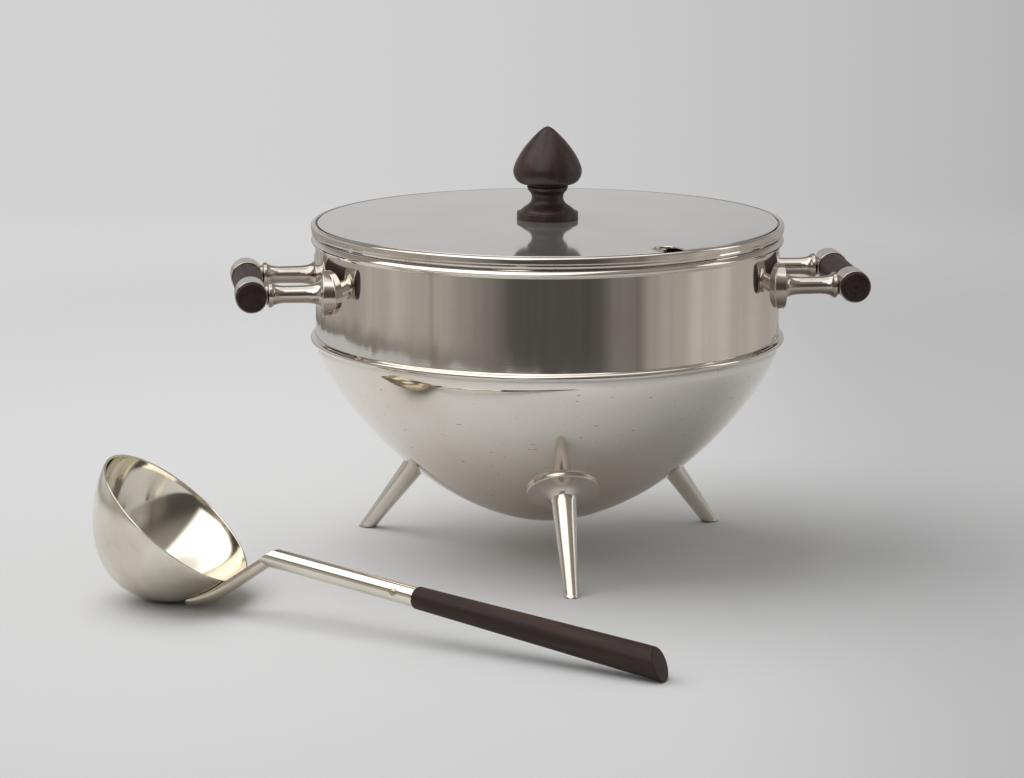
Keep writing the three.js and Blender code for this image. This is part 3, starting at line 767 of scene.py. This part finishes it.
def make_lid():
    """The slightly domed plate, and the bezel ring under it that locates it in the rim."""
    def crown(r):
        return LID_CROWN * (1 - (r / LID_RADIUS) ** 2)

    top = LID_Z + LID_THICKNESS
    radii = [STUD_HOLE + (LID_RADIUS - 3.0 - STUD_HOLE) * i / 40 for i in range(41)]
    flat = crown(BEZEL_RADIUS - 2.2)
    below = [(r, LID_Z + max(0.0, crown(r) - flat)) for r in radii]
    above = [(r, top + crown(r)) for r in radii][::-1]
    wall = LID_RADIUS - 0.25
    edge = rounded([below[-1], (wall, LID_Z, 0.3), (wall, top, 0.4), above[0]], 5)[1:-1]
    plate = solid("lid_plate_turned", lathe([*below, *edge, *above], closed=True))
    combine(plate, notch_cutter(NOTCH_HALF, LID_Z - 2, top + 3), "DIFFERENCE")
    piece(plate, "lid", "polished_silver", LID_SILVER, "lid_plate")

    high, low = LID_Z - 0.1, LID_Z - 0.3 - BEZEL_HEIGHT
    inside = BEZEL_RADIUS - BEZEL_THICKNESS
    ring = rounded([(inside, low, 0.5), (BEZEL_RADIUS, low, 0.5), (BEZEL_RADIUS, high), (inside, high)])
    bezel = solid("lid_bezel_turned", lathe(ring, closed=True))
    combine(bezel, notch_cutter(NOTCH_HALF + 0.3, low - 2, high + 2), "DIFFERENCE")
    piece(bezel, "lid", "polished_silver", POLISHED, "lid_bezel")
    make_notch_lip(top)


def make_notch_lip(top):
    """A thin strip, rounded on top, that follows the notch."""
    half, thick, proud = NOTCH_HALF - 0.15, 0.95, 0.6
    outer = notch_path(half, LID_RADIUS - 0.8)
    inner = notch_path(half - thick, LID_RADIUS - 0.8)
    rings = []
    for (ox, oy), (ix, iy) in zip(outer, inner):
        across = Vector((ix - ox, iy - oy, 0))
        base = Vector((ox, oy, 0))
        middle_z = top + proud - thick / 2
        section = [base + Vector((0, 0, LID_Z)), base + across + Vector((0, 0, LID_Z))]
        for k in range(9):
            a = pi * k / 8
            section.append(base + across * (0.5 + 0.5 * cos(a))
                           + Vector((0, 0, middle_z + thick / 2 * sin(a))))
        rings.append(section)
    place = PLACE @ Matrix.Rotation(radians(NOTCH_ANGLE), 4, "Z")
    piece(solid("notch_lip_strip", loft(rings), place), "lid", "polished_silver", POLISHED, "notch_lip")


def make_finial():
    """Radii and heights above the lid's top: foot, waisted neck, thin collar, and pointed head."""
    base = LID_Z + LID_THICKNESS + LID_CROWN - 0.05
    foot = rounded([(STUD_HOLE, 0), (15.3, 0, 0.35), (15.3, 3.5, 0.6), (13.9, 3.6)], 4)
    neck = flowing([(13.8, 3.65), (13.2, 4.4), (12.2, 5.3), (10.8, 6.3), (9.3, 7.4), (8.2, 9.0),
                    (7.85, 10.9), (8.4, 12.7), (9.5, 14.1)], 6)
    collar = [(9.9, 14.5), *arc(9.7, 15.9, 0.55, -50, 60, 6), (9.6, 16.7), (9.7, 17.0)]
    head = flowing([(10.4, 17.15), (13.2, 17.7), (15.2, 19.0), (16.6, 21.2), (17.1, 23.6), (16.65, 26.3),
                    (14.95, 30.2), (12.4, 34.4), (9.2, 38.5), (5.4, 42.5), (2.4, 45.1), (0, 46.2)], 7)
    hole = [(0, 15.0), (STUD_HOLE, 15.0)]
    shape = lathe([(r, z + base) for r, z in [*hole, *foot, *neck, *collar, *head]], 160)
    grain = wood("finial_ebony", (0, 0, 1), middle("finial") * MM, 0.46)
    piece(solid("finial_turned", shape), "lid", "ebony", grain, "finial")


def make_fixings():
    """The stud, washer and nut under the lid keep their CAD shapes, with a finer finish."""
    for node, material in (("finial_stud", BRASS), ("finial_washer", POLISHED), ("finial_nut", BRASS)):
        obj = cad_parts[node]
        obj.data.materials.clear()
        obj.data.materials.append(material)
        eased = obj.modifiers.new("eased", "BEVEL")
        eased.width = 0.25 * MM
        eased.segments = 3
        eased.limit_method = "ANGLE"


# ---------------------------------------------------------------- ladle


def ladle_place():
    """From the ladle's own frame (cup rim level, stem over +X) to the row frame, in millimetres.

    The ladle lies on its cup and on the end of its grip, so the grip's lowest point sets its height.
    """
    turn = (Matrix.Rotation(LADLE_YAW, 4, "Z") @ Matrix.Rotation(LADLE_TILT, 4, "Y")
            @ Matrix.Rotation(LADLE_ROLL, 4, "X"))
    grip = turn @ stem_frame()
    lift = -min((grip @ p).z for p in grip_shape()[0])
    return Matrix.Translation(AXIS + Vector((LADLE_X, LADLE_Y, lift))) @ turn


def stem_frame():
    """From the stem's frame, z along it from the bend, to the ladle's."""
    bend = Vector((NECK_X + BEND_RISE * tan(NECK_LEAN), 0, BEND_RISE))
    return Matrix.Translation(bend) @ Matrix.Rotation(pi / 2 - STEM_SLOPE, 4, "Y")


def cup_radius(depth, inset=0.0):
    share = min(depth / (CUP_DEPTH - inset), 1.0)
    return (CUP_RADIUS - inset) * sqrt(1 - share ** CUP_POWER)


def cup_side(inset, count):
    depths = [(CUP_DEPTH - inset) * sin(i / count * pi / 2) for i in range(count + 1)]
    return [(cup_radius(d, inset), -d) for d in depths]


def cup_shape():
    outside = cup_side(0, 60)[::-1]
    inside = cup_side(CUP_SHEET, 60)
    outside[0] = (0, outside[0][1])
    inside[-1] = (0, inside[-1][1])
    rim = arc(CUP_RADIUS - CUP_SHEET / 2, -0.1, CUP_SHEET / 2, 10, 170, 8)
    return lathe([*outside[:-1], *rim, *inside[1:]], 224)


def neck_shape():
    """A half-round bar that lies along the cup's underside and rises to the stem."""
    sections = [(-22.6, 0.8), (-22.2, 1.5), (-21.2, 2.1), (-19.4, 2.7), (-16.8, 3.2), (-13.2, 3.65),
                (-10, 3.9), (-7, 4.1), (-4, 4.2), (-1.5, 4.25), (1.5, 4.25), (8, 4.15), (16, 4.05),
                (BEND_RISE - 1, 4.0)]  # height above the cup's rim, half width
    path = []
    for height, _ in sections:
        x = NECK_X + height * tan(NECK_LEAN) if height > 0 else cup_radius(-height) + 0.05
        path.append(Vector((x, 0, height)))
    rings = []
    steps = 24
    for i, (point, (height, radius)) in enumerate(zip(path, sections)):
        along = (path[min(i + 1, len(path) - 1)] - path[max(i - 1, 0)]).normalized()
        away = Vector((along.z, 0, -along.x))
        clear = radius ** 2 / (2 * CUP_RADIUS) * 0.5 if height < 0 else 0.1
        ring = []
        for k in range(steps + 1):
            a = pi * k / steps - pi / 2
            eased = 1.0 - 0.08 * abs(sin(a)) ** 8
            edge = 0.25 * (1 - abs(sin(a)) ** 12)
            outwards = NECK_DEPTH * radius * cos(a) * eased + clear + edge
            ring.append(point + away * outwards + Vector((0, radius * sin(a) * eased, 0)))
        rings.append(ring)
    return loft(rings)


def trimmed(shape, from_z, to_z, slope):
    """Slides the points between two heights along z by slope times x, for a slanted end."""
    points, faces = shape
    moved = [Vector((p.x, p.y, p.z + slope * p.x)) if from_z <= p.z <= to_z else p for p in points]
    return moved, faces


def stem_shape():
    """A round rod, cut at a slant where it meets the neck, and hollow at its end for the grip's tenon."""
    flat_tilt = pi / 2 - STEM_SLOPE - NECK_LEAN  # between the stem and the neck's flat
    end, hollow = STEM_LENGTH + 0.1, (3.5, 60)  # radius of the hollow, and where it starts
    outline = rounded([(0, 0), (STEM_RADIUS, 0, 0.25), (STEM_RADIUS, 10), (STEM_RADIUS, STEM_LENGTH - 4),
                       (STEM_RADIUS, end, 0.3), (hollow[0], end), hollow, (0, hollow[1])], 4)
    return trimmed(lathe(outline, 96), -1, 1, -1 / tan(flat_tilt))


def grip_shape():
    """A tenon, a rounded shoulder, a slow taper outwards, and a slanted end."""
    start, end = STEM_LENGTH + 0.2, STEM_LENGTH + GRIP_LENGTH
    tenon, tenon_start = 3.3, start - 18
    outline = rounded([(0, tenon_start), (tenon, tenon_start), (tenon, start),
                       (GRIP_START - 0.5, start, 0.3), (GRIP_START, start + 0.8, 0.5),
                       (GRIP_START, start + 1.4)], 4)
    taper = 12
    for k in range(1, taper + 1):
        outline.append((GRIP_START + (GRIP_END - GRIP_START) * (k / taper),
                        start + 1.4 + (end - 12 - start) * (k / taper)))
    outline += rounded([(GRIP_END, end - 2.0), (GRIP_END, end, 0.7), (0, end)], 5)
    return trimmed(lathe(outline, 128), end - 2.01, end + 1, tan(GRIP_SLANT))


def rivet_shape():
    reach = STEM_RADIUS + 0.05
    top = [(RIVET_HEAD, reach - 0.3), *arc(RIVET_HEAD - 0.35, reach + 0.15, 0.35, -30, 70, 5),
           (RIVET_HEAD * 0.5, reach + 0.75), (0, reach + 0.85)]
    outline = [(r, -z) for r, z in top][::-1] + top
    points, faces = lathe(outline, 48)
    lay = Matrix.Translation((0, 0, RIVET_AT)) @ Matrix.Rotation(pi / 2, 4, "X")
    return [lay @ p for p in points], faces


def dull_outside(cup, place):
    """Gives the cup's outside its duller finish: the faces that look away from the cup's middle."""
    cup.data.materials.append(LADLE_OUTSIDE)
    centre = place.translation * MM
    for face in cup.data.polygons:
        outwards = face.normal.dot(face.center - centre)
        face.material_index = 1 if outwards > 0.5 * (face.center - centre).length else 0


def make_ladle():
    place = ladle_place()
    on_stem = place @ stem_frame()
    grip_wood = wood("grip_ebony", on_stem.to_3x3() @ Vector((0, 0, 1)), middle("ladle_grip") * MM)
    pieces = [
        ("ladle_cup", cup_shape(), place, "ladle_silver", LADLE_SILVER),
        ("ladle_neck", neck_shape(), place, "ladle_silver", NECK_SILVER),
        ("ladle_stem", stem_shape(), on_stem, "ladle_silver", LADLE_SILVER),
        ("ladle_grip", grip_shape(), on_stem, "ebony", grip_wood),
        ("ladle_rivet", rivet_shape(), on_stem, "brass", BRASS),
    ]
    for node, shape, where, slot, material in pieces:
        made = piece(solid(f"{node}_made", shape, where), "ladle", slot, material, node)
        if node == "ladle_cup":
            dull_outside(made, place)


# ---------------------------------------------------------------- studio

FLOOR_RADIUS, FLOOR_DROP = 4.0, 0.00005  # metres; it lies just under the feet
FLOOR_LIT_LEFT, FLOOR_SHADED_RIGHT = 0.69, 0.57  # painted light on the floor: paler where it is lit, left of the tureen, and darker to the right
FADE_START, FADE_END = 0.55, 1.35  # where the floor fades into the backdrop

TABLE_REACH, TABLE_LEAN = 0.68, -0.05  # how far the table runs in reflections, more on the left
TABLE_EDGE, TABLE_EDGE_RIGHT = 0.085, 0.006  # width of the darker edge beyond it, from left to right
TABLE_RIPPLE = 0.09
TABLE_EDGE_TINT = (1.0, 0.92, 0.84)

AMBIENT = 0.41  # the light from all round that dull surfaces get
SOFTBOX, SOFTBOX_TOP = 1.7, 1.05  # brightness of the large softbox in reflections, and right above
# Planes that bound the softbox as the metal sees it: it is where the right, away, up parts give less than 0
SOFTBOX_EDGES = [(0.597, -0.212, -0.308), (-0.414, -0.108, -0.738), (0.0, 0.93, -0.42)]
KEY_POWER, STRIP_POWER = 15.1, 0.8
LIGHT_AIM_Z = 90

# Brightness behind the tureen, by how far a direction points to the right of the camera's
BACKDROP = [(-0.20, 0.655), (-0.13, 0.651), (-0.06, 0.64), (0.0, 0.612), (0.08, 0.533), (0.13, 0.474),
            (0.20, 0.42)]
WALL_LEFT, WALL_RIGHT = 0.54, 0.405  # brightness of the backdrop in reflections
CEILING_NEAR, CEILING_FAR = (0.31, 0.29, 0.27, 1), (0.27, 0.26, 0.25, 1)
DARK_ABOVE_HORIZON = (0.075, 0.07, 0.065, 1)  # in front of the table, between the room and the ceiling

# Brightness of the room in front of the table, by direction in degrees to the right of the camera
ROOM = [(-180, 0.42), (-150, 0.36), (-122, 0.34), (-100, 0.39), (-84, 0.44), (-68, 0.40), (-61, 0.385),
        (-59, 0.31), (-57, 0.365), (-54, 0.37), (-41, 0.27), (-29, 0.18), (-19, 0.095), (-10, 0.078),
        (20, 0.076), (26, 0.10), (33, 0.17), (42, 0.19), (44.5, 0.15), (47, 0.21), (51, 0.30),
        (57, 0.37), (70, 0.35), (76, 0.47), (92, 0.51), (106, 0.45), (125, 0.42), (150, 0.38),
        (180, 0.42)]
ROOM_TINT = (1.0, 0.93, 0.86)
ROOM_UNEVEN = 0.09


def view_axes(n, vector):
    """Turns a vector to the camera's bearing and gives it with its parts to the right, away and up."""
    turned = n.add("ShaderNodeVectorRotate", {"rotation_type": "Z_AXIS"}, Vector=vector,
                   Angle=radians(-CAMERA_TURN)).outputs[0]
    split = n.add("ShaderNodeSeparateXYZ", Vector=turned)
    return (turned, *split.outputs)


def make_floor():
    """A pale floor that fades into the backdrop. In reflections it ends at a table's edge instead."""
    steps = 96
    angles = [2 * pi * i / steps for i in range(steps)]
    ring = [Vector((cos(a), sin(a), 0)) * FLOOR_RADIUS / MM for a in angles]
    floor = solid("studio_floor", (ring, [list(range(steps))]))
    floor.data.transform(Matrix.Translation((0, 0, -FLOOR_DROP)))
    material, n = blank_material("floor_paper")
    moved = n.vector("SUBTRACT", n.place(), AXIS * MM)
    _, right, _, _ = view_axes(n, moved)
    reach = n.add("ShaderNodeVectorMath", {"operation": "LENGTH"}, i0=moved).outputs["Value"]
    seen = n.add("ShaderNodeLightPath").outputs["Is Camera Ray"]
    unseen = n.math("SUBTRACT", 1.0, seen)

    ripple = n.math("MULTIPLY", n.math("SUBTRACT", n.noise(moved, 9.0, 1.0, 0.5), 0.5), TABLE_RIPPLE)
    limit = n.math("ADD", n.math("MULTIPLY", right, TABLE_LEAN), TABLE_REACH)
    past = n.math("SUBTRACT", n.math("ADD", reach, ripple), limit)
    on_edge = n.math("MULTIPLY", unseen, n.between(past, -0.004, 0.004))
    strip = n.between(right, -0.2, 0.05, TABLE_EDGE, TABLE_EDGE_RIGHT)
    cut = n.math("MULTIPLY", unseen, n.between(past, 0.002, strip))
    fade = n.math("MULTIPLY", seen, n.between(reach, FADE_START, FADE_END))
    clear = n.math("MAXIMUM", fade, cut)

    tone = n.between(n.math("ABSOLUTE", right), 0.1, 0.42, 0.12, 0.19)
    edge_colour = n.mix(1.0, n.grey(tone), (*TABLE_EDGE_TINT, 1), "MULTIPLY")
    # painted light and shade on the floor: lighter to the left, darker to the right and at the far left,
    # and in reflections darker further out towards the table's edge
    grey = n.between(right, 0.04, 0.22, FLOOR_LIT_LEFT, FLOOR_SHADED_RIGHT)
    grey = n.math("MULTIPLY", grey, n.between(right, -0.42, -0.1, 0.925, 1.0))
    dimmed = n.between(reach, 0.42, TABLE_REACH, 0.0, n.math("MULTIPLY", unseen, 0.3))
    grey = n.math("MULTIPLY", grey, n.math("SUBTRACT", 1.0, dimmed))
    paper = n.add("ShaderNodeBsdfDiffuse", Color=n.grey(grey))
    # painted edge line: in reflections the table's edge is a thin strip that glows a dim warm grey, not lit
    # paper
    edge = n.add("ShaderNodeEmission", Color=edge_colour, Strength=1.0)
    table = n.add("ShaderNodeMixShader", i0=on_edge, i1=paper.outputs[0], i2=edge.outputs[0])
    through = n.add("ShaderNodeBsdfTransparent")
    shader = n.add("ShaderNodeMixShader", i0=clear, i1=table.outputs[0], i2=through.outputs[0])
    n.add("ShaderNodeOutputMaterial", Surface=shader.outputs[0])
    floor.data.materials.append(material)


def make_world():
    """The camera sees the backdrop, dull surfaces an even light, and the metal a room with a softbox."""
    world = bpy.data.worlds.new("studio")
    bpy.context.scene.world = world
    world.use_nodes = True
    n = Nodes(world.node_tree)
    direction = n.add("ShaderNodeTexCoord").outputs["Generated"]
    turned, right, away, up = view_axes(n, direction)

    bearing = n.math("ARCTAN2", right, n.math("MULTIPLY", away, -1.0))
    share = n.math("ADD", n.math("DIVIDE", bearing, 2 * pi), 0.5)
    room = n.ramp(share, [((a + 180) / 360, [v * t for t in ROOM_TINT]) for a, v in ROOM])
    columns = n.add("ShaderNodeCombineXYZ", X=bearing, Y=n.math("MULTIPLY", up, 0.8)).outputs[0]
    uneven = n.between(n.noise(columns, 5.0, 3.0, 0.6), 0.3, 0.7, 1 - ROOM_UNEVEN, 1 + ROOM_UNEVEN)
    room = n.mix(1.0, room, n.grey(uneven), "MULTIPLY")

    wall = n.grey(n.between(right, 0.0, 0.17, WALL_LEFT, WALL_RIGHT))
    behind = n.between(away, -0.15, 0.45)
    low = n.mix(n.math("MULTIPLY", behind, n.between(up, -0.06, 0.02)), room, wall)
    near = n.mix(n.between(up, 0.2, 0.75), DARK_ABOVE_HORIZON, CEILING_NEAR)
    ceiling = n.mix(behind, near, CEILING_FAR)
    mirrored = n.mix(n.between(up, 0.12, 0.5), low, ceiling)
    panel = 1.0
    for edge in SOFTBOX_EDGES:
        side = n.add("ShaderNodeVectorMath", {"operation": "DOT_PRODUCT"}, i0=turned, i1=edge)
        panel = n.math("MULTIPLY", n.between(side.outputs["Value"], -0.05, 0.03, 1.0, 0.0), panel)
    mirrored = n.mix(panel, mirrored, n.grey(n.between(up, 0.90, 0.965, SOFTBOX, SOFTBOX_TOP)))

    span = 2 * BACKDROP[-1][0]
    share = n.math("ADD", n.math("DIVIDE", right, span), 0.5)
    backdrop = n.ramp(share, [(at / span + 0.5, value) for at, value in BACKDROP])
    path = n.add("ShaderNodeLightPath")
    unseen = n.mix(path.outputs["Is Diffuse Ray"], mirrored, (AMBIENT, AMBIENT, AMBIENT, 1))
    shown = n.mix(path.outputs["Is Camera Ray"], unseen, backdrop)
    back = n.add("ShaderNodeBackground", Color=shown, Strength=1.0)
    n.add("ShaderNodeOutputWorld", Surface=back.outputs[0])


def softbox(name, offset, size, power, mirrored):
    """A rectangular light at an offset from the tureen's axis, in the camera's directions."""
    data = bpy.data.lights.new(name, "AREA")
    data.shape = "RECTANGLE"
    data.size, data.size_y = size
    data.energy = power
    light = bpy.data.objects.new(name, data)
    turn = Matrix.Rotation(radians(CAMERA_TURN), 4, "Z")
    light.location = (AXIS + turn @ Vector(offset)) * MM
    aim = (AXIS + Vector((0, 0, LIGHT_AIM_Z))) * MM - light.location
    light.rotation_euler = aim.to_track_quat("-Z", "Y").to_euler()
    light.visible_camera = False
    light.visible_glossy = mirrored
    bpy.context.scene.collection.objects.link(light)


def make_lights():
    softbox("key_softbox", (-640, 130, 1230), (1.5, 1.5), KEY_POWER, False)
    softbox("right_strip", (1180, 90, 620), (0.32, 0.8), STRIP_POWER, True)


def make_camera():
    data = bpy.data.cameras.new("camera")
    data.lens = CAMERA_LENS
    data.sensor_width = 36.0
    data.clip_end = 50.0
    camera = bpy.data.objects.new("camera", data)
    camera.location = (AXIS + CAMERA_FROM_AXIS) * MM
    camera.rotation_euler = (radians(90 - CAMERA_PITCH), 0, radians(CAMERA_TURN))
    bpy.context.scene.collection.objects.link(camera)
    bpy.context.scene.camera = camera


make_camera()
make_world()
make_lights()
make_floor()
make_bowl()
make_collar()
make_bead("waist_bead_turned", "waist_bead", WAIST_RADIUS, WAIST_Z, WAIST_HEIGHT)
make_bead("rim_bead_turned", "rim_bead", RIM_BEAD_RADIUS, RIM_BEAD_Z, RIM_BEAD_HEIGHT, RIM_BEAD_TOP_POWER)
make_rim()
make_handles()
make_rods()
make_feet()
make_lid()
make_finial()
make_fixings()
make_ladle()

bpy.context.scene.view_settings.view_transform = "Standard"
bpy.context.view_layer.update()
